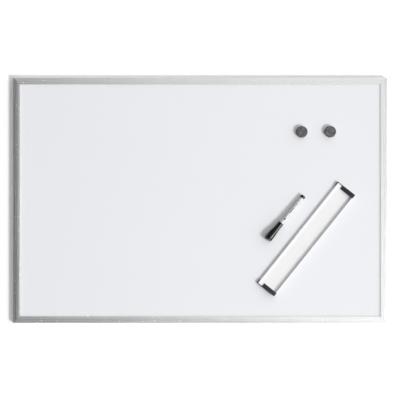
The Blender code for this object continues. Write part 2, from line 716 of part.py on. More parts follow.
def build_tray():
    """The tray's extrusion, its two end caps and the magnetic strips under its floor."""
    place = surface_seat(TRAY_FROM_SIDE, TRAY_FROM_BOTTOM - BOARD_HEIGHT / 2)
    axis = add_empty("tray_pull", place @ Matrix.Rotation(-TRAY_ANGLE, 4, "Y"))
    half = TRAY_LENGTH / 2 - CAP_PLATE - FIT_GAP
    add_piece("tray_profile", along_tray(tray_section(), 1, -half, half), "white lacquer", axis)
    channel_low = TRAY_WALL + FIT_GAP
    channel_high = TROUGH_START - TRAY_WALL - FIT_GAP
    strip_width = (channel_high - channel_low - STRIP_SPACING) / 2
    strip_half = half - CAP_PLUG_LENGTH - FIT_GAP
    strips = {"back": channel_low, "front": channel_high - strip_width}
    for side, low in strips.items():
        outline = rectangle(low, low + strip_width, FIT_GAP, FIT_GAP + STRIP_THICKNESS)
        strip = along_tray(outline, 1, -strip_half, strip_half)
        add_piece(f"tray_magnet_strip_{side}", strip, "magnetic rubber", axis)
    build_tray_end_cap("upper", -1, axis, half)
    build_tray_end_cap("lower", 1, axis, half)


def build_tray_end_cap(label, end, axis, half):
    """An end plate with a block in the trough, a hood over the lip, an ear and a plug in the channel."""
    outer = TRAY_LENGTH / 2
    plate_near = outer - CAP_PLATE
    rim_top = TRAY_FLOOR + TRAY_RIM_RISE
    low_top = TRAY_FLOOR + FIT_GAP + CAP_BLOCK_LOW
    hood_back = TRAY_TOP + FIT_GAP
    hood_top = hood_back + CAP_HOOD
    wide = TRAY_WIDTH + CAP_OVERHANG
    ear_outer = -FIT_GAP - CAP_EAR_THICKNESS
    plate_outline = rounded(
        [
            (ear_outer, TRAY_FOOT_CLEARANCE, CAP_CORNER),
            (ear_outer, rim_top, CAP_CORNER),
            (CAP_BLOCK_INSET, rim_top, 0),
            (TROUGH_START, hood_top - CAP_HOOD, 0),
            (wide, hood_top, CAP_CORNER),
            (wide, TRAY_FLOOR, CAP_CORNER),
            (TROUGH_START, TRAY_FOOT_CLEARANCE, CAP_CORNER),
        ]
    )
    plate = along_tray(plate_outline, end, plate_near, outer)
    cap = add_piece(f"tray_end_cap_{label}", plate, "slate plastic", axis)
    seat = trough_arc(-FIT_GAP)
    block_outline = [(CAP_BLOCK_INSET, TRAY_FLOOR + FIT_GAP)] + seat
    block_side = wide - CAP_PLATE_PROUD
    block_top = hood_top - CAP_PLATE_PROUD
    block_outline += [(seat[-1][0], hood_back), (block_side, hood_back), (block_side, block_top)]
    block_outline += [(TROUGH_START, block_top - CAP_HOOD), (CAP_BLOCK_INSET, low_top)]
    block_near = plate_near - CAP_BLOCK_LENGTH
    block = along_tray(block_outline, end, block_near, plate_near + JOIN_OVERLAP)
    shape_with(cap, "block", block, "UNION")
    ear_outline = rectangle(
        ear_outer + CAP_PLATE_PROUD,
        -FIT_GAP,
        TRAY_FOOT_CLEARANCE + CAP_PLATE_PROUD,
        rim_top - CAP_PLATE_PROUD,
    )
    ear = along_tray(ear_outline, end, plate_near - CAP_EAR_LENGTH, plate_near + JOIN_OVERLAP)
    shape_with(cap, "ear", ear, "UNION")
    plug_outline = rectangle(
        TRAY_WALL + FIT_GAP,
        TROUGH_START - TRAY_WALL - FIT_GAP,
        TRAY_FOOT_CLEARANCE + CAP_PLATE_PROUD,
        TRAY_UNDERSIDE - FIT_GAP,
    )
    plug = along_tray(plug_outline, end, half - CAP_PLUG_LENGTH, plate_near + JOIN_OVERLAP)
    shape_with(cap, "plug", plug, "UNION")


def main():
    """Builds the board from the frame inwards, then what lies on it."""
    clear_scene()
    build_rails()
    build_panel()
    for corner, place in CORNERS.items():
        build_corner(corner, *place)
    build_hangers()
    build_bumpers()
    build_magnets()
    build_marker()
    build_tray()


main()
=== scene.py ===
"""Looks of a wall-hung magnetic whiteboard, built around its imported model.

Lengths are in metres and +Z is up. The wall is the plane y = 0 and the board faces -Y. Heights
called "out" are measured from the wall towards the viewer, and heights called "rise" from the
writing surface. Each sub-assembly is a class whose fields are its sizes.
"""

from __future__ import annotations

import logging
import math
from dataclasses import dataclass
from enum import Enum
from functools import cached_property
from typing import ClassVar, Iterable, NamedTuple, Sequence

import bmesh
import bpy
from mathutils import Matrix, Vector, noise


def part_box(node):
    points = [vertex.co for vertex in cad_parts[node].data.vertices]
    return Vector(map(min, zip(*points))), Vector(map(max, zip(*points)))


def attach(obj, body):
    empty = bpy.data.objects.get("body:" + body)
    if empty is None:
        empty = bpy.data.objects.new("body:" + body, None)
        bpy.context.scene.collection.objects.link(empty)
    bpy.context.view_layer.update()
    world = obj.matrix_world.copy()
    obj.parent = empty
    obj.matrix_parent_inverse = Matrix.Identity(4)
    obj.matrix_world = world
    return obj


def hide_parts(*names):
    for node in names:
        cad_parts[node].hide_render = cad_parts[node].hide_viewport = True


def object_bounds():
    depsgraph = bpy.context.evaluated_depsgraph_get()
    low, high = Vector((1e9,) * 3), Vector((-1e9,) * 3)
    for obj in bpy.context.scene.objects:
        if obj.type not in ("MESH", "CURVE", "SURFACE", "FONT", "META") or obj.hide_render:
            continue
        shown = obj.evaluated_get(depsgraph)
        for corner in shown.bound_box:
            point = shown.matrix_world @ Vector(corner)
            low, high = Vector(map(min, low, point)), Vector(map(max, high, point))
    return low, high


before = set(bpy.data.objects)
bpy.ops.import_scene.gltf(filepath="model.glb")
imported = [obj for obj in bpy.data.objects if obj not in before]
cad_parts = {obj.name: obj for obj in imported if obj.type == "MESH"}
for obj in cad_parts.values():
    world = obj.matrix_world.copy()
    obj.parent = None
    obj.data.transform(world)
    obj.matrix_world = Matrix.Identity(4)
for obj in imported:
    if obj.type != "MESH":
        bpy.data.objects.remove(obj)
cad_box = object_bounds()

log = logging.getLogger("whiteboard")

Point = tuple[float, float]
Triple = tuple[float, float, float]
Socket = bpy.types.NodeSocket
Value = Socket | float

FIT_GAP = 0.0003
MERGE_DISTANCE = 0.000001
CAD_MERGE_DISTANCE = 0.000005
FLAT_ANGLE = math.radians(0.5)
SOFT_ANGLE = math.radians(40)
SHARP_ANGLE = math.radians(32)
QUARTER = math.pi / 2
FILLET_SEGMENTS = 6
ROUND_SEGMENTS = 10


class Body(Enum):
    """The bodies that pieces ride on."""

    BOARD = "board"
    HANGER_LEFT = "hanger_left"
    HANGER_RIGHT = "hanger_right"
    MAGNET_LEFT = "magnet_left"
    MAGNET_RIGHT = "magnet_right"
    MARKER = "marker"
    CAP = "cap"
    TRAY = "tray"


class Run(Enum):
    """The direction that a rail's extrusion lines run in."""

    ACROSS = "across"
    UP = "up"


class Ramp(NamedTuple):
    """A range of a value, what its two ends turn into, and whether the change is smooth."""

    source: Point
    target: Point
    smooth: bool = False


class Nodes:
    """A node tree, with short methods for what the materials and the world share."""

    def __init__(self, tree: bpy.types.NodeTree) -> None:
        """Wraps a node tree."""
        self.tree = tree

    def put(self, value: object, target: Socket) -> None:
        """Joins or sets one input.

        Args:
            value: A socket to join, or a value that is the same all over.
            target: The input.
        """
        if isinstance(value, Socket):
            self.tree.links.new(value, target)
        else:
            target.default_value = value

    def node(self, kind: str, inputs: dict[str | int, object], **settings: str) -> bpy.types.Node:
        """Adds a node.

        Args:
            kind: The node's type, as it is named after "ShaderNode".
            inputs: What goes into each input, by its name or its place.
            settings: The node's own settings.

        Returns:
            The node.
        """
        node = self.tree.nodes.new(f"ShaderNode{kind}")
        for name, value in settings.items():
            setattr(node, name, value)
        for place, value in inputs.items():
            self.put(value, node.inputs[place])
        return node

    def math(self, operation: str, *values: Value) -> Socket:
        """A Math node's result."""
        return self.node("Math", dict(enumerate(values)), operation=operation).outputs[0]

    def ramp(self, value: Socket, ramp: Ramp) -> Socket:
        """One range turned into another, held at both ends.

        Args:
            value: What is turned.
            ramp: The two ranges.

        Returns:
            The turned value.
        """
        names = ("Value", "From Min", "From Max", "To Min", "To Max")
        inputs = dict(zip(names, (value, *ramp.source, *ramp.target)))
        shape = "SMOOTHSTEP" if ramp.smooth else "LINEAR"
        return self.node("MapRange", inputs, interpolation_type=shape).outputs["Result"]


class Shading(Nodes):
    """One material's nodes, around its Principled shader."""

    def __init__(self, name: str) -> None:
        """Starts a material.

        Args:
            name: The material's name.
        """
        self.material = bpy.data.materials.new(name)
        self.material.use_nodes = True
        super().__init__(self.material.node_tree)
        self.shader = self.tree.nodes["Principled BSDF"]

    def set(self, values: dict[str, object]) -> None:
        """Joins or sets each of these inputs of the shader."""
        for socket, value in values.items():
            self.put(value, self.shader.inputs[socket])

    def base(self, colour: Triple, roughness: float, metallic: float) -> None:
        """Sets the shader's own colour, roughness and metallic value."""
        self.material.diffuse_color = (*colour, 1.0)
        self.set({"Base Color": (*colour, 1.0), "Roughness": roughness, "Metallic": metallic})

    def place(
        self, scale: Triple = (1, 1, 1), location: Triple = (0, 0, 0), turn: Triple = (0, 0, 0)
    ) -> Socket:
        """Object coordinates through a Mapping node.

        Args:
            scale: The pattern's stretch along each axis.
            location: The pattern's shift, added last.
            turn: The pattern's turn, in radians.

        Returns:
            The vector that a texture reads.
        """
        vector = self.node("TexCoord", {}).outputs["Object"]
        inputs = {"Vector": vector, "Scale": scale, "Location": location, "Rotation": turn}
        return self.node("Mapping", inputs).outputs["Vector"]

    def noise(self, vector: Socket, scale: float, detail: float = 2.0, rough: float = 0.5) -> Socket:
        """A noise pattern of about 0.5 on average, by its features per metre and its octaves."""
        inputs = {"Vector": vector, "Scale": scale, "Detail": detail, "Roughness": rough}
        return self.node("TexNoise", inputs).outputs["Fac"]

    def cells(self, vector: Socket, scale: float) -> Socket:
        """The colour of a Voronoi pattern's cells."""
        return self.node("TexVoronoi", {"Vector": vector, "Scale": scale}).outputs["Color"]

    def spread(
        self, value: Socket, low: float, high: float, start: float = 0.3, end: float = 0.7
    ) -> Socket:
        """A pattern's middle range, from start to end, spread between two values."""
        return self.ramp(value, Ramp((start, end), (low, high)))

    def mix(self, share: Socket, low: Socket | tuple, high: Socket | tuple) -> Socket:
        """One colour where the share is 0 and another where it is 1."""
        return self.node("Mix", {0: share, 6: low, 7: high}, data_type="RGBA").outputs[2]

    def tint(self, value: Socket, low: Triple, high: Triple) -> Socket:
        """A colour between two, chosen by the pattern."""
        return self.mix(value, (*low, 1.0), (*high, 1.0))

    def bump(self, height: Socket, distance: float) -> None:
        """Raises the surface by a pattern, over what raises it already.

        Args:
            height: The pattern.
            distance: How far it raises the surface.
        """
        node = self.node("Bump", {"Height": height, "Distance": distance, "Strength": 1.0})
        normal = self.shader.inputs["Normal"]
        if normal.is_linked:
            self.put(normal.links[0].from_socket, node.inputs["Normal"])
        self.put(node.outputs["Normal"], normal)


def grey(level: float) -> Triple:
    """A neutral colour."""
    return (level, level, level)


@dataclass(frozen=True)
class Finish:
    """What every finish has: its name, and the record's slot that it stands for."""

    name: str
    slot: str

    def material(self) -> bpy.types.Material:
        """The finish's material, made the first time that it is asked for.

        Returns:
            The material.
        """
        if self.name not in bpy.data.materials:
            self.paint(Shading(self.name))
        return bpy.data.materials[self.name]

    def paint(self, shading: Shading) -> None:
        """Builds the finish's nodes.

        Args:
            shading: The material to build them in.
        """
        raise NotImplementedError


@dataclass(frozen=True)
class AnodisedAluminium(Finish):
    """Satin anodising over an extrusion's die lines, which run along the rail."""

    run: Run = Run.ACROSS
    dark: Triple = grey(0.79)
    light: Triple = (0.87, 0.87, 0.865)
    smooth: float = 0.22
    rough: float = 0.30
    along: float = 5.0
    across: float = 1500.0
    coarser: float = 5.0
    clouds: float = 14.0
    relief: float = 0.000003

    def paint(self, shading: Shading) -> None:
        """Fine lines for roughness and bump, and slow clouds in the colour.

        Args:
            shading: The material to build them in.
        """
        scale = (self.along, self.across, self.across)
        if self.run is Run.UP:
            scale = scale[::-1]
        lines = shading.noise(shading.place(scale), 1.0, detail=3.0)
        coarse_scale = tuple(value / self.coarser for value in scale)
        coarse = shading.noise(shading.place(coarse_scale), 1.0)
        clouds = shading.noise(shading.place(), self.clouds, detail=3.0)
        rough = shading.spread(lines, self.smooth, self.rough)
        shading.base(self.light, self.rough, 1.0)
        shading.set({"Base Color": shading.tint(clouds, self.dark, self.light), "Roughness": rough})
        shading.bump(lines, self.relief)
        shading.bump(coarse, self.relief)


@dataclass(frozen=True)
class WhiteEnamel(Finish):
    """Fired enamel: glossy, with a faint ripple and the haze that wiping leaves."""

    cool: Triple = (0.760, 0.770, 0.802)
    warm: Triple = (0.774, 0.782, 0.809)
    smooth: float = 0.13
    rough: float = 0.22
    even: float = 0.16  # the roughness where a viewer leaves the patterns out
    ripple: float = 160.0
    relief: float = 0.00002
    haze: float = 6.0
    haze_stretch: Triple = (1.0, 1.0, 3.0)
    haze_turn: Triple = (0.0, 0.5, 0.0)
    clouds: float = 3.0
    coat: float = 0.15
    coat_rough: float = 0.08

    def paint(self, shading: Shading) -> None:
        """Orange-peel ripple, wiping haze and slow clouds.

        Args:
            shading: The material to build them in.
        """
        ripple = shading.noise(shading.place(), self.ripple, detail=1.0)
        haze = shading.noise(shading.place(self.haze_stretch, turn=self.haze_turn), self.haze, detail=4.0)
        clouds = shading.noise(shading.place(), self.clouds, detail=1.0)
        shading.base(self.warm, self.even, 0.0)
        shading.set(
            {
                "Base Color": shading.tint(clouds, self.cool, self.warm),
                "Roughness": shading.spread(haze, self.smooth, self.rough),
                "Coat Weight": self.coat,
                "Coat Roughness": self.coat_rough,
            }
        )
        shading.bump(ripple, self.relief)


@dataclass(frozen=True)
class GalvanisedSteel(Finish):
    """Zinc spangle on thin sheet."""

    dark: Triple = (0.42, 0.44, 0.46)
    light: Triple = (0.66, 0.68, 0.70)
    smooth: float = 0.34
    rough: float = 0.52
    even: float = 0.42  # the roughness where a viewer leaves the patterns out
    stretch: Triple = (1.0, 1.0, 1.6)
    large: float = 75.0
    small: float = 190.0
    large_share: float = 0.6
    brightness: Point = (0.2, 1.4)
    gloss: Point = (0.2, 0.8)
    frost: float = 900.0
    relief: float = 0.00001

    def paint(self, shading: Shading) -> None:
        """Flat crystals of unlike brightness, with a fine frost.

        Args:
            shading: The material to build them in.
        """
        bent = shading.place(self.stretch)
        crystal, small = shading.cells(bent, self.large), shading.cells(bent, self.small)
        frost = shading.noise(shading.place(), self.frost)
        both = shading.math("MULTIPLY_ADD", crystal, self.large_share, small)
        value = shading.spread(both, 0.0, 1.0, *self.brightness)
        rough = shading.spread(crystal, self.smooth, self.rough, *self.gloss)
        shading.base(self.light, self.even, 1.0)
        shading.set({"Base Color": shading.tint(value, self.dark, self.light), "Roughness": rough})
        shading.bump(frost, self.relief)


@dataclass(frozen=True)
class Moulding(Finish):
    """A moulded or lacquered surface with a fine grain."""

    dark: Triple
    light: Triple
    smooth: float
    rough: float
    grain: float = 1500.0
    relief: float = 0.00002
    clouds: float = 60.0
    stretch: Triple = (1.0, 1.0, 1.0)
    specular: float = 0.5
    depth: float = 0.0

    METALLIC: ClassVar[float] = 0.0
    GRAIN_DETAIL: ClassVar[float] = 2.0
    CLOUD_DETAIL: ClassVar[float] = 3.0
    CLOUD_ROUGH: ClassVar[float] = 0.6

    def paint(self, shading: Shading) -> None:
        """Grain in the relief and the gloss, and slow clouds in the colour.

        Args:
            shading: The material to build them in.
        """
        grain = shading.noise(shading.place(self.stretch), self.grain, self.GRAIN_DETAIL)
        clouds = shading.noise(shading.place(), self.clouds, self.CLOUD_DETAIL, self.CLOUD_ROUGH)
        shading.base(self.light, self.rough, self.METALLIC)
        shading.set(
            {
                "Base Color": self.colour(shading, clouds),
                "Roughness": shading.spread(grain, self.smooth, self.rough),
                "Specular IOR Level": self.specular,
            }
        )
        shading.bump(grain, self.relief)
        if self.depth:
            inner = {"Weight": 1.0, "Radius": grey(1.0), "Scale": self.depth}
            shading.set({f"Subsurface {name}": value for name, value in inner.items()})

    def colour(self, shading: Shading, clouds: Socket) -> Socket:
        """The colour pattern, which a printed finish adds to."""
        return shading.tint(shading.spread(clouds, 0.0, 1.0), self.dark, self.light)


@dataclass(frozen=True)
class PlatedMetal(Moulding):
    """Plated or cast metal: the same grain on metal, and small stains for clouds."""

    relief: float = 0.00001

    METALLIC: ClassVar[float] = 1.0
    GRAIN_DETAIL: ClassVar[float] = 3.0
    CLOUD_DETAIL: ClassVar[float] = 4.0


@dataclass(frozen=True)
class Fibre(Finish):
    """Felt, fibreboard or a fibre rod: matted fibres with a soft sheen."""

    dark: Triple
    light: Triple
    fibre: float = 1200.0
    relief: float = 0.00012
    sheen: float = 0.4
    sheen_rough: float = 0.5
    rough: float = 0.95
    coarser: float = 6.0
    contrast: Point = (0.18, 0.42)

    LAYERS: ClassVar[tuple[tuple[Triple, Triple], ...]] = (
        ((1.0, 1.0, 0.18), (0.5, 0.9, 0.2)),
        ((0.18, 1.0, 1.0), (0.2, -0.6, 0.8)),
    )

    def paint(self, shading: Shading) -> None:
        """Two crossed layers of stretched fibres over a mottled ground.

        Args:
            shading: The material to build them in.
        """
        vectors = [shading.place(scale, turn=turn) for scale, turn in self.LAYERS]
        layers = [shading.noise(vector, self.fibre, detail=3.0) for vector in vectors]
        matted = shading.math("MAXIMUM", *layers)
        ground = shading.noise(shading.place(), self.fibre / self.coarser, detail=3.0)
        mixed = shading.spread(shading.math("MULTIPLY", matted, ground), 0.0, 1.0, *self.contrast)
        shading.base(self.light, self.rough, 0.0)
        colour = shading.tint(mixed, self.dark, self.light)
        shading.set({"Base Color": colour, "Sheen Weight": self.sheen, "Sheen Roughness": self.sheen_rough})
        shading.bump(matted, self.relief)


class Mark(NamedTuple):
    """A plain printed mark, by its middle along the marker and its half sizes."""

    middle: float
    half_length: float
    half_width: float


@dataclass(frozen=True)
class PrintedMoulding(Moulding):
    """A glossy moulding with plain marks printed along the side that faces the viewer."""

    to_local: Matrix | None = None
    marks: tuple[Mark, ...] = ()
    ink: Triple = (0.03, 0.03, 0.035)
    edge: Point = (0.8, 1.2)

    ROUND: ClassVar[float] = 2.0
    SQUARE: ClassVar[float] = 6.0

    def colour(self, shading: Shading, clouds: Socket) -> Socket:
        """The moulding's colour with each mark laid over it.

        Args:
            shading: The material being built.
            clouds: The moulding's own pattern.

        Returns:
            The printed colour.
        """
        colour = super().colour(shading, clouds)
        place, turn, _ = self.to_local.decompose()
        vector = shading.place(location=tuple(place), turn=tuple(turn.to_euler()))
        parts = shading.node("SeparateXYZ", {0: vector}).outputs
        for mark in self.marks:
            colour = shading.mix(self.mask(shading, parts, mark), colour, (*self.ink, 1.0))
        return colour

    def mask(self, shading: Shading, parts: Sequence[Socket], mark: Mark) -> Socket:
        """One mark's mask, 1 inside a rounded patch and 0 outside it.

        Args:
            shading: The material being built.
            parts: The marker's own X, Y and Z.
            mark: The mark.

        Returns:
            The mask.
        """
        toward, sideways, along = parts
        power = self.ROUND if mark.half_length < 2 * mark.half_width else self.SQUARE
        from_middle = shading.math("SUBTRACT", along, mark.middle)
        powers = []
        for value, half in ((from_middle, mark.half_length), (sideways, mark.half_width)):
            share = shading.math("ABSOLUTE", shading.math("DIVIDE", value, half))
            powers.append(shading.math("POWER", share, power))
        patch = shading.spread(shading.math("ADD", *powers), 1.0, 0.0, *self.edge)
        return shading.math("MULTIPLY", patch, shading.math("LESS_THAN", toward, 0.0))


CAST_ZINC = PlatedMetal(
    "cast_zinc", "zinc_casting", grey(0.36), grey(0.52),
    smooth=0.45, rough=0.62, grain=1600.0, relief=0.00004, clouds=200.0,
)
BLACK_OXIDE = PlatedMetal(
    "black_oxide", "black_steel", grey(0.03), grey(0.07),
    smooth=0.36, rough=0.5, grain=2200.0, clouds=275.0,
)
BRIGHT_ZINC = PlatedMetal(
    "bright_zinc", "plated_steel", (0.50, 0.50, 0.47), (0.68, 0.69, 0.68),
    smooth=0.2, rough=0.34, grain=420.0, relief=0.000006, clouds=52.5, stretch=(0.12, 1.0, 1.0),
)
NICKEL = PlatedMetal(
    "nickel_plate", "nickel_magnet", (0.55, 0.54, 0.50), (0.70, 0.69, 0.65),
    smooth=0.14, rough=0.24, grain=700.0, clouds=87.5,
)
RUBBER = Moulding(
    "bumper_rubber", "grey_rubber", grey(0.035), grey(0.06),
    smooth=0.68, rough=0.85, grain=900.0, relief=0.00003,
)
STRIP = Moulding(
    "filled_rubber", "magnetic_rubber", (0.03, 0.027, 0.025), (0.055, 0.05, 0.046),
    smooth=0.6, rough=0.8,
)
FERRITE = Moulding(
    "sintered_ferrite", "ferrite", (0.025, 0.025, 0.027), (0.05, 0.05, 0.052),
    smooth=0.55, rough=0.75, grain=2500.0,
)
GRAPHITE = Moulding(
    "graphite_shell", "graphite_plastic", (0.030, 0.027, 0.030), (0.155, 0.149, 0.156),
    smooth=0.36, rough=0.50, grain=1400.0, relief=0.00006, clouds=170.0,
)
LACQUER = Moulding(
    "white_satin_lacquer", "white_lacquer", (0.805, 0.805, 0.812), (0.835, 0.835, 0.84),
    smooth=0.30, rough=0.42, grain=850.0, relief=0.000012, clouds=90.0,
)
SLATE = Moulding(
    "slate_moulding", "slate_plastic", (0.011, 0.014, 0.019), (0.025, 0.030, 0.038),
    smooth=0.34, rough=0.48, grain=1300.0, relief=0.00003, clouds=200.0,
)
BLACK = Moulding(
    "marker_black", "black_plastic", (0.004, 0.004, 0.0045), (0.008, 0.008, 0.009),
    smooth=0.16, rough=0.20, grain=900.0, relief=0.0000004, specular=0.25,
)
ENAMEL = WhiteEnamel("fired_enamel", "white_enamel")
SPANGLE = GalvanisedSteel("zinc_spangle", "galvanised_steel")
FIBREBOARD = Fibre(
    "raw_fibreboard", "fibreboard", (0.24, 0.17, 0.11), (0.46, 0.36, 0.26), fibre=700.0, sheen=0.0
)
FELT = Fibre("grey_felt_pad", "grey_felt", grey(0.10), grey(0.30))
NIB_FIBRE = Fibre("inked_nib", "inked_felt", (0.008, 0.008, 0.01), grey(0.03))
ROD_FIBRE = Fibre("reservoir_rod", "reservoir_fibre", (0.45, 0.45, 0.43), (0.72, 0.72, 0.70))


def arc(centre: Point, radii: Point, start: float, end: float, steps: int) -> list[Point]:
    """Points on an elliptical arc.

    Args:
        centre: The ellipse's centre.
        radii: Its two half axes.
        start: The first point's angle.
        end: The last point's angle.
        steps: How many chords the arc has.

    Returns:
        The points, both ends included.
    """
    angles = [start + (end - start) * step / steps for step in range(steps + 1)]
    return [(centre[0] + radii[0] * math.cos(a), centre[1] + radii[1] * math.sin(a)) for a in angles]


def low_round(radius: float, height: float, size: float, steps: int = FILLET_SEGMENTS) -> list[Point]:
    """The rounded lower edge of a turned shape, which ends at a radius and starts at a height."""
    return arc((radius - size, height + size), (size, size), -QUARTER, 0, steps)


def top_round(radius: float, height: float, size: float, steps: int = FILLET_SEGMENTS) -> list[Point]:
    """The rounded upper edge of a turned shape, which starts at a radius and ends at a height."""
    return arc((radius - size, height - size), (size, size), 0, QUARTER, steps)


def sharp(points: Iterable[Point]) -> list[Triple]:
    """Outline points as corners that stay sharp."""
    return [(a, b, 0.0) for a, b in points]


def basis(first: Triple, second: Triple) -> Matrix:
    """Turns an outline's two axes to these directions, and its growth to their cross product."""
    across, up = Vector(first), Vector(second)
    return Matrix((across, up, across.cross(up))).transposed().to_4x4()


def seat_behind(node: str, gap: float = 0.0) -> Matrix:
    """Turns a shape's own Z to the viewer and sets it on the rear of a CAD node.

    Args:
        node: The CAD node.
        gap: How far behind the node the shape's own zero lies.

    Returns:
        The shape's place.
    """
    low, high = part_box(node)
    middle = (low + high) / 2
    return Matrix.Translation((middle.x, high.y + gap, middle.z)) @ Matrix.Rotation(QUARTER, 4, "X")


def add(name: str, data: bpy.types.ID) -> bpy.types.Object:
    """Adds an object to the scene, at the origin.

    Args:
        name: Its name.
        data: Its mesh, light or camera.

    Returns:
        The object.
    """
    item = bpy.data.objects.new(name, data)
    bpy.context.scene.collection.objects.link(item)
    return item


def add_mesh(name: str, bm: bmesh.types.BMesh, material: bpy.types.Material) -> bpy.types.Object:
    """Adds an object around a finished bmesh, which it uses up.

    Args:
        name: The object's name.
        bm: The bmesh.
        material: The object's material.

    Returns:
        The object.
    """
    mesh = bpy.data.meshes.new(name)
    bm.to_mesh(mesh)
    bm.free()
    mesh.materials.append(material)
    return add(name, mesh)


class Solid:
    """A closed shape in the making, around one bmesh."""

    def __init__(self, bm: bmesh.types.BMesh) -> None:
        """Wraps a bmesh."""
        self.bm = bm

    @classmethod
    def spun(cls, profile: Sequence[Point], steps: int, ring: bool = False) -> Solid:
        """A shape turned about its own Z.

        Args:
            profile: The (radius, height) points of its half section.
            steps: How many facets it has round the axis.
            ring: Whether the profile closes on itself, clear of the axis.

        Returns:
            The shape.
        """
        bm = bmesh.new()
        points = [bm.verts.new((radius, 0, height)) for radius, height in profile]
        lines = [bm.edges.new(pair) for pair in zip(points, points[1:])]
        if ring:
            lines.append(bm.edges.new((points[-1], points[0])))
        bmesh.ops.spin(
            bm, geom=points + lines, cent=(0, 0, 0), axis=(0, 0, 1),
            angle=math.tau, steps=steps, use_merge=True,
        )
        bmesh.ops.remove_doubles(bm, verts=bm.verts, dist=MERGE_DISTANCE)
        bmesh.ops.recalc_face_normals(bm, faces=bm.faces)
        return cls(bm)

    @classmethod
    def grown(cls, corners: Sequence[Triple], low: float, high: float) -> Solid:
        """An outline grown straight along its own Z.

        Args:
            corners: The outline's (a, b, radius) corners. A radius over 0 rounds its corner.
            low: Where the shape starts.
            high: Where it ends.

        Returns:
            The shape.
        """
        bm = bmesh.new()
        points = [bm.verts.new((a, b, low)) for a, b, _ in corners]
        bm.faces.new(points)
        for radius in sorted({corner[2] for corner in corners} - {0.0}):
            chosen = [point for point, corner in zip(points, corners) if corner[2] == radius]
            bmesh.ops.bevel(
                bm, geom=chosen, affect="VERTICES", offset=radius, offset_type="OFFSET",
                segments=FILLET_SEGMENTS, profile=0.5, material=-1,
            )
        grown = bmesh.ops.extrude_face_region(bm, geom=bm.faces[:])["geom"]
        moved = [item for item in grown if isinstance(item, bmesh.types.BMVert)]
        bmesh.ops.translate(bm, verts=moved, vec=(0, 0, high - low))
        bmesh.ops.recalc_face_normals(bm, faces=bm.faces)
        return cls(bm)

    @classmethod
    def of_node(cls, node: str) -> Solid:
        """A copy of a CAD node's shape, with its flat faces whole again.

        Args:
            node: The CAD node.

        Returns:
            The shape.
        """
        bm = bmesh.new()
        bm.from_mesh(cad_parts[node].data)
        bmesh.ops.remove_doubles(bm, verts=bm.verts, dist=CAD_MERGE_DISTANCE)
        bmesh.ops.dissolve_limit(
            bm, angle_limit=FLAT_ANGLE, verts=bm.verts, edges=bm.edges, use_dissolve_boundaries=False
        )
        return cls(bm)

    def soften(self, width: float, segments: int = 2) -> Solid:
        """Rounds every edge that isn't nearly flat.

        Args:
            width: The round's width on each side of the edge.
            segments: The round's facets.

        Returns:
            The same shape, for the next step.
        """
        edges = [e for e in self.bm.edges if e.is_manifold and e.calc_face_angle(0.0) > SOFT_ANGLE]
        bmesh.ops.bevel(
            self.bm, geom=edges, affect="EDGES", offset=width, offset_type="OFFSET",
            segments=segments, profile=0.5, clamp_overlap=True, material=-1,
        )
        return self

    def trim(self, height: float, normal: Triple) -> Solid:
        """Cuts off what lies past a plane, and closes the cut.

        Args:
            height: Where the plane crosses the shape's own Z.
            normal: The direction of the side that goes.

        Returns:
            The same shape, for the next step.
        """
        cut = bmesh.ops.bisect_plane(
            self.bm, geom=self.bm.verts[:] + self.bm.edges[:] + self.bm.faces[:], dist=MERGE_DISTANCE,
            plane_co=(0, 0, height), plane_no=normal, clear_outer=True,
        )
        rim = [item for item in cut["geom_cut"] if isinstance(item, bmesh.types.BMEdge)]
        bmesh.ops.holes_fill(self.bm, edges=rim, sides=0)
        return self

    def place(self, matrix: Matrix) -> Solid:
        """Moves the shape's points into place."""
        bmesh.ops.transform(self.bm, matrix=matrix, verts=self.bm.verts)
        return self

    def piece(self, name: str, finish: Finish, body: Body, node: str) -> None:
        """Turns the shape into a finished piece of the model, which sits at the origin.

        Args:
            name: The piece's name.
            finish: Its finish.
            body: The body that it rides on.
            node: The CAD node that it stands for.
        """
        item = add_mesh(name, self.bm, finish.material())
        item.data.shade_smooth()
        item.data.set_sharp_from_angle(angle=SHARP_ANGLE)
        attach(item, body.value)
        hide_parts(node)
        log.info("%s: %d faces", name, len(item.data.polygons))


def dress(node: str, finish: Finish) -> None:
    """Gives a CAD node whose shape stays its finish.

    Args:
        node: The CAD node.
        finish: The finish.
    """
    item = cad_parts[node]
    if not item.material_slots:
        item.data.materials.append(finish.material())
    for slot in item.material_slots:
        slot.material = finish.material()
    log.info("%s: dressed in %s", node, finish.name)


class RailSide(NamedTuple):
    """One side of the frame: its name, its turn from the bottom side and its extrusion lines."""

    name: str
    angle: float
    run: Run


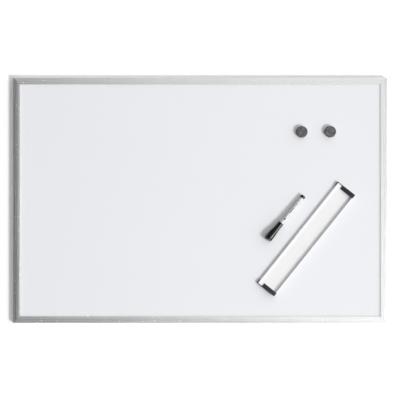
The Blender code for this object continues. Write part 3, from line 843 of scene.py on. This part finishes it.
@dataclass
class RailFrame:
    """The four mitred rails, and the keys and grub screws in their corners."""

    face: float = 0.0167
    standoff: float = 0.0015
    depth: float = 0.0130
    wall: float = 0.0014
    web: float = 0.0012
    chamber: float = 0.0070
    slot: float = 0.0040
    slot_lip: float = 0.0015
    lip_rise: float = 0.0026
    lip_wall: float = 0.0013
    lip_slope: float = 0.0013
    crest: float = 0.0030
    crown_rise: float = 0.0010
    panel_stack: float = 0.0058
    back_lip: float = 0.0030
    edge_radius: float = 0.0007
    outer_radius: float = 0.0004
    small_radius: float = 0.00025
    key_round: float = 0.00025
    crown_steps: int = 24

    SIDES: ClassVar[tuple[RailSide, ...]] = (
        RailSide("bottom", 0.0, Run.ACROSS),
        RailSide("left", QUARTER, Run.UP),
        RailSide("top", math.pi, Run.ACROSS),
        RailSide("right", -QUARTER, Run.UP),
    )
    CORNERS: ClassVar[tuple[str, ...]] = ("bottom_left", "top_left", "top_right", "bottom_right")

    @property
    def front(self) -> float:
        """The rails' highest point, out from the wall."""
        return self.standoff + self.depth

    @property
    def surface(self) -> float:
        """The writing surface, out from the wall."""
        return self.front - self.lip_rise

    def section(self) -> list[Triple]:
        """The rail's outline, with its slot open to the rear.

        Returns:
            The (inward, out, radius) corners.
        """
        span = self.face - self.crest
        crown_foot = self.front - self.crown_rise
        bend = (span**2 + self.crown_rise**2) / (2 * self.crown_rise)
        reach = math.asin(span / bend)
        crown = arc((span, self.front - bend), (bend, bend), QUARTER + reach, QUARTER, self.crown_steps)
        chamber_back, chamber_front = self.standoff + self.slot_lip, crown_foot - self.wall
        lip_inner, lip_back = self.face - self.lip_wall, self.front - self.lip_wall
        lip_foot = self.surface + FIT_GAP
        groove = self.wall + self.chamber + self.web
        back_front = self.surface - self.panel_stack - FIT_GAP
        back_back = back_front - self.lip_wall
        slot_centre = self.wall + self.chamber / 2
        near, far = slot_centre - self.slot / 2, slot_centre + self.slot / 2
        inner = self.wall + self.chamber
        small = self.small_radius
        return [
            (0.0, self.standoff, self.edge_radius),
            (*crown[0], self.outer_radius),
            *sharp(crown[1:]),
            (self.face - self.lip_slope / 2, self.front, small),
            (self.face + self.lip_slope / 2, lip_foot, small),
            (lip_inner, lip_foot, 0.0),
            (lip_inner, lip_back, 0.0),
            (groove, lip_back, 0.0),
            (groove, back_front, 0.0),
            (groove + self.back_lip, back_front, small),
            (groove + self.back_lip, back_back, small),
            (groove, back_back, small),
            (groove, self.standoff, small),
            (far, self.standoff, small),
            (far, chamber_back, 0.0),
            (inner, chamber_back, 0.0),
            (inner, chamber_front, 0.0),
            (self.wall, chamber_front, 0.0),
            (self.wall, chamber_back, 0.0),
            (near, chamber_back, 0.0),
            (near, self.standoff, small),
        ]

    def build_rails(self) -> None:
        """Grows each rail along its side and cuts its two mitres."""
        corners = self.section()
        setback = FIT_GAP / math.sqrt(2)
        for side in self.SIDES:
            node = f"frame_rail_{side.name}"
            low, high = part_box(node)
            span = high.x - low.x if side.run is Run.ACROSS else high.z - low.z
            half = span / 2 + setback
            x = {"left": low.x, "right": high.x}.get(side.name, 0.0)
            z = {"bottom": low.z, "top": high.z}.get(side.name, 0.0)
            turn = Matrix.Translation((x, 0, z)) @ Matrix.Rotation(side.angle, 4, "Y")
            finish = AnodisedAluminium(f"anodised_{side.run.value}", "anodised_aluminium", side.run)
            rail = Solid.grown(corners, -half, half)
            rail.trim(half - setback, (1, 0, 1)).trim(setback - half, (1, 0, -1))
            rail.place(turn @ basis((0, 0, 1), (0, -1, 0)))
            rail.piece(f"rail_{side.name}_extrusion", finish, Body.BOARD, node)

    def build(self) -> None:
        """Builds the rails and the cast keys, and dresses the black grub screws."""
        self.build_rails()
        for corner in self.CORNERS:
            key = f"corner_key_{corner}"
            Solid.of_node(key).soften(self.key_round).piece(f"{key}_casting", CAST_ZINC, Body.BOARD, key)
            for leg in ("along", "up"):
                dress(f"grub_screw_{corner}_{leg}", BLACK_OXIDE)


@dataclass
class WritingPanel:
    """The enamelled sheet, its core and the backing sheet."""

    sheet: Finish = ENAMEL
    core: Finish = FIBREBOARD
    backing: Finish = SPANGLE

    def build(self) -> None:
        """Dresses the three layers."""
        dress("writing_sheet", self.sheet)
        dress("core_board", self.core)
        dress("backing_sheet", self.backing)


@dataclass
class WallFittings:
    """The keyhole hangers in the top rail and the rubber bumpers in the bottom rail."""

    hanger_round: float = 0.0002
    pad_radius: float = 0.0045
    pad_height: float = 0.0012
    pad_round: float = 0.0005
    neck_radius: float = 0.0017
    bulb_radius: float = 0.0027
    bulb_start: float = 0.0033
    bulb_height: float = 0.0030
    tip_radius: float = 0.0012
    steps: int = 48

    def build_hangers(self) -> None:
        """The plated hangers, with every edge slightly rounded."""
        for side, body in (("left", Body.HANGER_LEFT), ("right", Body.HANGER_RIGHT)):
            node = f"wall_hanger_{side}"
            hanger = Solid.of_node(node).soften(self.hanger_round)
            hanger.piece(f"keyhole_hanger_{side}", BRIGHT_ZINC, body, node)

    def build_bumpers(self) -> None:
        """The bumpers, turned, with a rounded pad."""
        profile = [
            (0.0, 0.0),
            *low_round(self.pad_radius, 0.0, self.pad_round),
            (self.pad_radius, self.pad_height),
            (self.neck_radius, self.pad_height),
            (self.neck_radius, self.bulb_start),
            (self.bulb_radius, self.bulb_start),
            (self.tip_radius, self.bulb_start + self.bulb_height),
            (0.0, self.bulb_start + self.bulb_height),
        ]
        for side in ("left", "right"):
            node = f"wall_bumper_{side}"
            bumper = Solid.spun(profile, self.steps).place(seat_behind(node))
            bumper.piece(f"rubber_bumper_{side}", RUBBER, Body.BOARD, node)

    def build(self) -> None:
        """Builds the fittings behind the frame."""
        self.build_hangers()
        self.build_bumpers()


@dataclass
class RoundMagnet:
    """One round magnet: a textured shell over a ferrite disc."""

    side: str
    body: Body
    radius: float = 0.0140
    height: float = 0.0100
    edge_radius: float = 0.0020
    edge_steps: int = 12
    draft: float = 0.0005
    dish: float = 0.0004
    dish_slope: float = 0.0006
    dish_steps: int = 5
    rim: float = 0.0014
    foot: float = 0.0003
    pocket_radius: float = 0.0103
    pocket_top: float = 0.0046
    steps: int = 128

    def shell_profile(self) -> list[Point]:
        """The shell's half section, from its pocket round its rim to the dish's middle.

        Returns:
            The (radius, height) points.
        """
        dish_start = self.radius - self.draft - self.edge_radius - self.rim
        dish_floor = self.height - self.dish
        return [
            (0.0, self.pocket_top),
            (self.pocket_radius, self.pocket_top),
            (self.pocket_radius, FIT_GAP),
            (self.radius - self.foot, FIT_GAP),
            (self.radius, FIT_GAP + self.foot),
            *top_round(self.radius - self.draft, self.height, self.edge_radius, self.edge_steps),
            *arc((dish_start, dish_floor), (self.dish, self.dish), QUARTER, math.pi, self.dish_steps),
            (dish_start - self.dish - self.dish_slope, dish_floor),
            (0.0, dish_floor),
        ]

    def build(self) -> None:
        """Builds the shell and dresses the disc."""
        node = f"magnet_{self.side}_shell"
        shell = Solid.spun(self.shell_profile(), self.steps).place(seat_behind(node, FIT_GAP))
        shell.piece(f"magnet_{self.side}_cover", GRAPHITE, self.body, node)
        dress(f"magnet_{self.side}_disc", FERRITE)


@dataclass
class BoardMarker:
    """The capped marker, which lies on the writing surface along its own leaning axis."""

    surface: float
    length: float = 0.138
    middle: Point = (0.2045, -0.0420)
    angle: float = math.radians(50.2)
    barrel_radius: float = 0.0056
    barrel_wall: float = 0.0011
    shoulder: float = 0.0030
    chamfer: float = 0.0004
    nose_radius: float = 0.0046
    nose_length: float = 0.022
    nose_taper: float = 0.007
    nose_tip: float = 0.0027
    nib_radius: float = 0.0017
    plug_head: float = 0.0065
    plug_spigot: float = 0.010
    plug_round: float = 0.0010
    plug_chamfer: float = 0.0002
    groove_start: float = 0.0018
    groove: Point = (0.00025, 0.0004)
    dimple_radii: Point = (0.00252, 0.00224)
    dimple_depth: float = 0.0003
    cap_length: float = 0.0497
    cap_end_radius: float = 0.0092
    cap_head: float = 0.0150
    cap_taper: float = 0.0195
    cap_mouth_radius: float = 0.0068
    cap_round: float = 0.0015
    cap_bead: float = 0.0004
    cap_partition: float = 0.0020
    magnet_radius: float = 0.0050
    magnet_thickness: float = 0.0040
    felt_radius: float = 0.0074
    felt_thickness: float = 0.0030
    felt_round: float = 0.0007
    felt_rings: tuple[float, ...] = (0.0, 0.15, 0.3, 0.45, 0.6, 0.75)
    felt_relief: float = 0.00012
    felt_grain: float = 900.0
    taper_steps: int = 14
    taper_ease: float = 0.1
    steps: int = 96

    MARKS: ClassVar[tuple[Mark, ...]] = (
        Mark(0.0660, 0.0026, 0.0019),
        Mark(0.0925, 0.0078, 0.0008),
        Mark(0.1105, 0.0020, 0.0006),
    )

    @cached_property
    def axis(self) -> Matrix:
        """The marker's frame: +Z runs from the cap's end to the plug, and z = 0 is the felt's face.

        Returns:
            The frame.
        """
        contact_cap = self.cap_start + self.cap_head
        contact_plug = self.length - self.plug_round
        lean = math.atan((self.cap_end_radius - self.barrel_radius) / (contact_plug - contact_cap))
        level = math.cos(lean)
        along = Vector((math.cos(self.angle) * level, math.sin(lean), math.sin(self.angle) * level))
        rise = FIT_GAP + self.cap_end_radius * level + contact_cap * math.sin(lean)
        level_half = Vector((along.x, 0, along.z)) * self.length / 2
        start = Vector((self.middle[0], -self.surface - rise, self.middle[1])) - level_half
        return Matrix.Translation(start) @ along.to_track_quat("Z", "Y").to_matrix().to_4x4()

    @property
    def cap_start(self) -> float:
        """Where the cap's closed end starts along the marker."""
        return self.felt_thickness + FIT_GAP

    @property
    def barrel_end(self) -> float:
        """Where the barrel ends along the marker."""
        return self.length - self.plug_head - FIT_GAP

    def build_barrel(self) -> None:
        """The barrel with its nose, one ring of plastic, printed with plain marks."""
        start, end, soft = self.cap_start + self.cap_length + FIT_GAP, self.barrel_end, self.chamfer
        bore, nib_bore = self.barrel_radius - self.barrel_wall, self.nib_radius + FIT_GAP
        bore_start, tip = start + self.shoulder, start - self.nose_length
        profile = [
            (nib_bore, tip),
            (self.nose_tip - soft, tip),
            (self.nose_tip, tip + soft),
            (self.nose_radius, tip + self.nose_taper),
            (self.nose_radius, start),
            *low_round(self.barrel_radius, start, soft),
            (self.barrel_radius, end - soft / 2),
            (self.barrel_radius - soft / 2, end),
            (bore, end),
            (bore, bore_start),
            (nib_bore, bore_start),
        ]
        white = PrintedMoulding(
            "marker_white", "white_plastic", (0.72, 0.72, 0.70), (0.76, 0.76, 0.745),
            smooth=0.2, rough=0.28, grain=300.0, relief=0.000002, specular=0.3, depth=0.005,
            to_local=self.axis.inverted(), marks=self.MARKS,
        )
        barrel = Solid.spun(profile, self.steps, ring=True).place(self.axis)
        barrel.piece("marker_body", white, Body.MARKER, "marker_barrel")

    def build_plug(self) -> None:
        """The end plug, with a rounded edge, a shallow ring groove and a dimple."""
        head, foot = self.barrel_end + FIT_GAP, self.barrel_end - self.plug_spigot
        radius, fill = self.barrel_radius, self.barrel_radius - self.barrel_wall - FIT_GAP
        dimple_floor = self.length - self.dimple_depth
        profile = [
            (0.0, foot),
            (fill, foot),
            (fill, head),
            (radius - self.plug_chamfer, head),
            (radius, head + self.plug_chamfer),
            *arc((radius, head + self.groove_start), self.groove, -QUARTER, -3 * QUARTER, FILLET_SEGMENTS),
            *top_round(radius, self.length, self.plug_round, ROUND_SEGMENTS),
            (self.dimple_radii[0], self.length),
            (self.dimple_radii[1], dimple_floor),
            (0.0, dimple_floor),
        ]
        plug = Solid.spun(profile, self.steps).place(self.axis)
        plug.piece("marker_plug", BLACK, Body.MARKER, "marker_end_plug")

    def taper(self) -> list[Point]:
        """The cap's outline from its thick head to its collar, eased at both ends.

        Returns:
            The (radius, height) points.
        """
        head = self.cap_start + self.cap_head
        drop = self.cap_end_radius - self.cap_mouth_radius
        points = []
        for step in range(self.taper_steps + 1):
            share = step / self.taper_steps
            eased = share - self.taper_ease * math.sin(math.tau * share) / math.tau
            points.append((self.cap_end_radius - drop * eased, head + self.cap_taper * share))
        return points

    def build_cap(self) -> None:
        """The cap with its thick head, a rounded closed end and a beaded mouth."""
        start, mouth = self.cap_start, self.cap_start + self.cap_length
        bore, pocket = self.nose_radius + FIT_GAP, self.magnet_radius + FIT_GAP
        pocket_end = start + self.magnet_thickness + FIT_GAP
        profile = [
            (0.0, pocket_end),
            (pocket, pocket_end),
            (pocket, start),
            *low_round(self.cap_end_radius, start, self.cap_round, ROUND_SEGMENTS),
            *self.taper(),
            *top_round(self.cap_mouth_radius, mouth, self.cap_bead),
            (bore, mouth),
            (bore, pocket_end + self.cap_partition),
            (0.0, pocket_end + self.cap_partition),
        ]
        cap = Solid.spun(profile, self.steps).place(self.axis)
        cap.piece("marker_cap_shell", BLACK, Body.CAP, "marker_cap")

    def build_felt(self) -> None:
        """The wiping pad, whose face is slightly uneven."""
        profile = [
            *((self.felt_radius * share, 0.0) for share in self.felt_rings),
            *low_round(self.felt_radius, 0.0, self.felt_round),
            (self.felt_radius, self.felt_thickness),
            (0.0, self.felt_thickness),
        ]
        felt = Solid.spun(profile, self.steps)
        for vert in felt.bm.verts:
            if vert.co.z < self.felt_thickness / 2:
                vert.co.z += self.felt_relief * (1 + noise.noise(vert.co * self.felt_grain))
        felt.place(self.axis).piece("marker_felt_pad", FELT, Body.CAP, "felt_eraser")

    def build(self) -> None:
        """Builds the marker, and dresses what its cap and barrel hide."""
        self.build_barrel()
        self.build_plug()
        self.build_cap()
        self.build_felt()
        dress("marker_nib", NIB_FIBRE)
        dress("ink_reservoir", ROD_FIBRE)
        dress("marker_cap_magnet", NICKEL)


@dataclass
class PenTray:
    """The lacquered tray with its trough, its magnetic strips and its two end caps."""

    surface: float
    middle: Point = (0.2545, -0.0930)
    angle: float = math.radians(51.3)
    length: float = 0.3112
    width: float = 0.0495
    wall: float = 0.0014
    foot: float = 0.0005
    rim_width: float = 0.0045
    rim_rise: float = 0.0015
    rim_radius: float = 0.0003
    trough_span: float = 0.0106
    trough_rise: float = 0.0070
    trough_steps: int = 28
    lip_radius: float = 0.00063
    strip: float = 0.0030
    end_plate: float = 0.0015
    cap_round: float = 0.00022

    @property
    def underside(self) -> float:
        """The floor's underside, as a rise from the writing surface."""
        return FIT_GAP + self.strip + FIT_GAP

    @property
    def floor(self) -> float:
        """The floor's face, as a rise from the writing surface."""
        return self.underside + self.wall

    @property
    def trough_start(self) -> float:
        """Where the trough starts across the tray."""
        return self.width - self.wall - self.trough_span

    def trough(self, offset: float) -> list[Point]:
        """The trough's curve moved outwards by an offset, from the floor to the lip.

        Args:
            offset: How far it is moved.

        Returns:
            The (across, rise) points.
        """
        centre = (self.trough_start, self.floor + self.trough_rise)
        radii = (self.trough_span + offset, self.trough_rise + offset)
        return arc(centre, radii, -QUARTER, 0, self.trough_steps)

    def section(self) -> list[Triple]:
        """The tray's outline.

        Returns:
            The (across, rise, radius) corners.
        """
        rim_top = self.floor + self.rim_rise
        leg = self.trough_start - self.wall
        inner, outer = self.trough(0.0), self.trough(self.wall)
        return [
            (0.0, self.foot, 0.0),
            (0.0, rim_top, self.rim_radius),
            (self.rim_width, rim_top, self.rim_radius),
            (self.rim_width, self.floor, 0.0),
            *sharp(inner[:-1]),
            (*inner[-1], self.lip_radius),
            (*outer[-1], self.lip_radius),
            *sharp(reversed(outer[:-1])),
            (self.trough_start, self.foot, 0.0),
            (leg, self.foot, 0.0),
            (leg, self.underside, 0.0),
            (self.wall, self.underside, 0.0),
            (self.wall, self.foot, 0.0),
        ]

    def seat(self) -> Matrix:
        """Turns the tray's section to its place on the board.

        Returns:
            The section's place.
        """
        place = Matrix.Translation((self.middle[0], -self.surface, self.middle[1]))
        turn = Matrix.Rotation(-self.angle, 4, "Y")
        shift = Matrix.Translation((-self.width / 2, 0, 0))
        return place @ turn @ basis((0, 0, -1), (0, -1, 0)) @ shift

    def build(self) -> None:
        """Builds the profile and the end caps, and dresses the strips."""
        half = self.length / 2 - self.end_plate - FIT_GAP
        profile = Solid.grown(self.section(), -half, half).place(self.seat())
        profile.piece("tray_extrusion", LACQUER, Body.TRAY, "tray_profile")
        for end in ("upper", "lower"):
            node = f"tray_end_cap_{end}"
            Solid.of_node(node).soften(self.cap_round, 3).piece(f"tray_cap_{end}", SLATE, Body.TRAY, node)
        for side in ("back", "front"):
            dress(f"tray_magnet_strip_{side}", STRIP)


class Sky(Nodes):
    """The world's nodes. A value is a socket, or a number that is the same all round."""

    def direction(self) -> list[Socket]:
        """How far a ray points to +X, +Y and +Z."""
        source = self.node("TexCoord", {}).outputs["Generated"]
        return list(self.node("SeparateXYZ", {0: source}).outputs)

    def ray(self, kind: str) -> Socket:
        """1 on rays of this kind, and 0 on others."""
        return self.node("LightPath", {}).outputs[f"Is {kind} Ray"]

    def blend(self, share: Socket, low: Value, high: Value) -> Socket:
        """Low where the share is 0 and high where it is 1."""
        return self.node("Mix", {0: share, 2: low, 3: high}).outputs[0]

    def shine(self, strength: Socket) -> None:
        """Lights the world in white.

        Args:
            strength: How bright it is, by the ray's direction and kind.
        """
        background = self.tree.nodes["Background"]
        self.put((1.0, 1.0, 1.0, 1.0), background.inputs["Color"])
        self.put(strength, background.inputs["Strength"])


@dataclass(frozen=True)
class Lamp:
    """A round soft lamp that faces the board's middle."""

    name: str
    place: Triple
    size: float
    power: float

    def build(self) -> None:
        """Adds the lamp to the scene."""
        light = bpy.data.lights.new(self.name, "AREA")
        light.shape = "DISK"
        light.size = self.size
        light.energy = self.power
        item = add(self.name, light)
        item.location = self.place
        item.rotation_euler = (-Vector(self.place)).to_track_quat("-Z", "Y").to_euler()


@dataclass
class Studio:
    """The wall, the floor, the lamps, the world and the camera.

    Each gloss ramp is read by how far a glossy ray points sideways, up or inwards. It gives the
    brightness that the ray finds there, or a share of that.
    """

    view_width: float = 0.9615
    camera_distance: float = 3.2
    camera_x: float = -0.0005
    camera_z: float = 0.00096
    sensor: float = 36.0
    fill: float = 0.59
    fill_across: float = 1.08
    fill_up: float = 0.455
    gloss_lean: float = 0.7
    gloss_lean_start: float = 0.02
    gloss_dark: Ramp = Ramp((-0.45, -0.05), (0.09, 0.30))
    gloss_light: Ramp = Ramp((-0.18, 0.06), (0.0, 0.68), smooth=True)
    gloss_far: Ramp = Ramp((-0.72, -0.48), (0.50, 0.0))
    gloss_lower: Ramp = Ramp((-0.08, 0.08), (0.0, 0.50), smooth=True)
    gloss_lower_height: Ramp = Ramp((-0.125, 0.04), (1.0, 0.0))
    gloss_fade: Ramp = Ramp((0.06, 0.33), (1.0, 0.66))
    gloss_side: Ramp = Ramp((0.50, 0.90), (1.0, 0.55))
    gloss_steep: Ramp = Ramp((0.09, 0.25), (1.0, 1.14))
    gloss_rear: Ramp = Ramp((-0.1, 0.1), (0.0, 1.0))
    window_direction: Triple = (0.77, -0.55, -0.31)
    window: Ramp = Ramp((0.988, 0.996), (0.0, 40.0), smooth=True)
    wall_size: float = 14.0
    wall_inset: float = 0.0025
    wall_gap: float = 0.0002
    floor_size: float = 4.4
    floor_drop: float = 1.50

    LAMPS: ClassVar[tuple[Lamp, ...]] = (
        Lamp("key", (9.84, -11.04, -6.16), 4.0, 1695.0),
        Lamp("rear", (-1.4, 2.4, 1.6), 1.5, 60.0),
    )

    def backdrop(self, name: str) -> bpy.types.Material:
        """A white that the camera and gloss see from its front only, and that lets light through.

        Args:
            name: The material's name.

        Returns:
            The material.
        """
        shading = Shading(name)
        shading.tree.nodes.remove(shading.shader)
        rays = shading.node("LightPath", {}).outputs
        seen = shading.math("ADD", rays["Is Camera Ray"], rays["Is Glossy Ray"])
        seen = shading.math("ADD", seen, rays["Is Transmission Ray"])
        rear = shading.node("NewGeometry", {}).outputs["Backfacing"]
        share = shading.math("MULTIPLY", seen, shading.math("LESS_THAN", rear, 0.5))
        clear = shading.node("BsdfTransparent", {}).outputs[0]
        white = shading.node("BsdfDiffuse", {"Color": (1.0, 1.0, 1.0, 1.0)}).outputs[0]
        surface = shading.node("MixShader", {0: share, 1: clear, 2: white}).outputs[0]
        shading.put(surface, shading.tree.nodes["Material Output"].inputs["Surface"])
        return shading.material

    def stage(self, name: str, bm: bmesh.types.BMesh) -> None:
        """Adds a backdrop that isn't part of the object."""
        add_mesh(name, bm, self.backdrop(f"{name}_white"))

    def build_wall(self) -> None:
        """The wall, which stops just inside the board's outline so that light reaches its back."""
        bm = bmesh.new()
        low, high = cad_box
        inset, reach = self.wall_inset, self.wall_size / 2
        inner = (low[0] + inset, low[2] + inset, high[0] - inset, high[2] - inset)
        loops = []
        for left, below, right, above in (inner, (-reach, -reach, reach, reach)):
            outline = ((left, below), (right, below), (right, above), (left, above))
            points = [bm.verts.new((x, self.wall_gap, z)) for x, z in outline]
            loops += [bm.edges.new((points[i - 1], points[i])) for i in range(4)]
        bmesh.ops.bridge_loops(bm, edges=loops)
        for face in bm.faces:
            face.normal_update()
            if face.normal.y > 0:
                face.normal_flip()
        self.stage("wall", bm)

    def build_floor(self) -> None:
        """A pale floor, below what the photograph shows."""
        bm = bmesh.new()
        bmesh.ops.create_grid(bm, x_segments=1, y_segments=1, size=self.floor_size / 2)
        bmesh.ops.translate(bm, verts=bm.verts, vec=(0, 0, -self.floor_drop))
        self.stage("floor", bm)

    def gloss(self, sky: Sky, sideways: Socket, inward: Socket, upward: Socket) -> Socket:
        """What gloss reflects: dark on the left, light on the right, and a window for the cap.

        Args:
            sky: The world's nodes.
            sideways: How far a ray points to the right.
            inward: How far it points to the wall.
            upward: How far it points up.

        Returns:
            The world's strength for glossy rays.
        """
        below = sky.math("MINIMUM", sky.math("ADD", upward, self.gloss_lean_start), 0.0)
        leaning = sky.math("MULTIPLY_ADD", below, self.gloss_lean, sideways)
        edge = sky.math("ADD", sky.ramp(leaning, self.gloss_dark), sky.ramp(leaning, self.gloss_light))
        edge = sky.math("ADD", edge, sky.ramp(sideways, self.gloss_far))
        height, lower = sky.ramp(upward, self.gloss_lower_height), sky.ramp(sideways, self.gloss_lower)
        gloss = sky.math("MULTIPLY_ADD", height, lower, edge)
        steepness = sky.math("ABSOLUTE", upward)
        fades = ((sideways, self.gloss_fade), (sideways, self.gloss_side), (steepness, self.gloss_steep))
        for value, ramp in fades:
            gloss = sky.math("MULTIPLY", gloss, sky.ramp(value, ramp))
        across, out, up = Vector(self.window_direction).normalized()
        toward = sky.math("MULTIPLY_ADD", inward, out, sky.math("MULTIPLY", upward, up))
        toward = sky.math("MULTIPLY_ADD", sideways, across, toward)
        gloss = sky.math("ADD", gloss, sky.ramp(toward, self.window))
        return sky.blend(sky.ramp(inward, self.gloss_rear), gloss, 1.0)

    def build_world(self) -> None:
        """White where it is seen, with a soft studio round the board for light and gloss."""
        world = bpy.data.worlds.new("studio")
        world.use_nodes = True
        world.cycles.sampling_method = "NONE"
        bpy.context.scene.world = world
        sky = Sky(world.node_tree)
        sideways, inward, upward = sky.direction()
        fill = sky.math("MULTIPLY_ADD", sideways, self.fill_across, self.fill)
        fill = sky.math("MAXIMUM", sky.math("MULTIPLY_ADD", upward, self.fill_up, fill), 0.0)
        strength = sky.blend(sky.ray("Glossy"), fill, self.gloss(sky, sideways, inward, upward))
        seen = sky.math("MAXIMUM", sky.ray("Camera"), sky.ray("Transmission"))
        sky.shine(sky.blend(seen, strength, 1.0))

    def build_camera(self, front: float) -> None:
        """The camera, square on to the board.

        Args:
            front: The frame's front, out from the wall, where the view's width is measured.
        """
        data = bpy.data.cameras.new("camera")
        data.sensor_width = self.sensor
        data.lens = self.sensor * self.camera_distance / self.view_width
        item = add("camera", data)
        item.location = (self.camera_x, -front - self.camera_distance, self.camera_z)
        item.rotation_euler = (QUARTER, 0, 0)
        bpy.context.scene.camera = item

    def build(self, front: float) -> None:
        """Builds the studio around the board.

        Args:
            front: The frame's front, out from the wall.
        """
        self.build_wall()
        self.build_floor()
        for lamp in self.LAMPS:
            lamp.build()
        self.build_world()
        self.build_camera(front)
        bpy.context.scene.view_settings.view_transform = "Standard"


def main() -> None:
    """Builds each sub-assembly, then the studio around them."""
    logging.basicConfig(level=logging.INFO, format="%(message)s")
    rails = RailFrame()
    rails.build()
    WritingPanel().build()
    WallFittings().build()
    RoundMagnet("left", Body.MAGNET_LEFT).build()
    RoundMagnet("right", Body.MAGNET_RIGHT).build()
    BoardMarker(rails.surface).build()
    PenTray(rails.surface).build()
    Studio().build(rails.front)


if __name__ == "__main__":
    main()
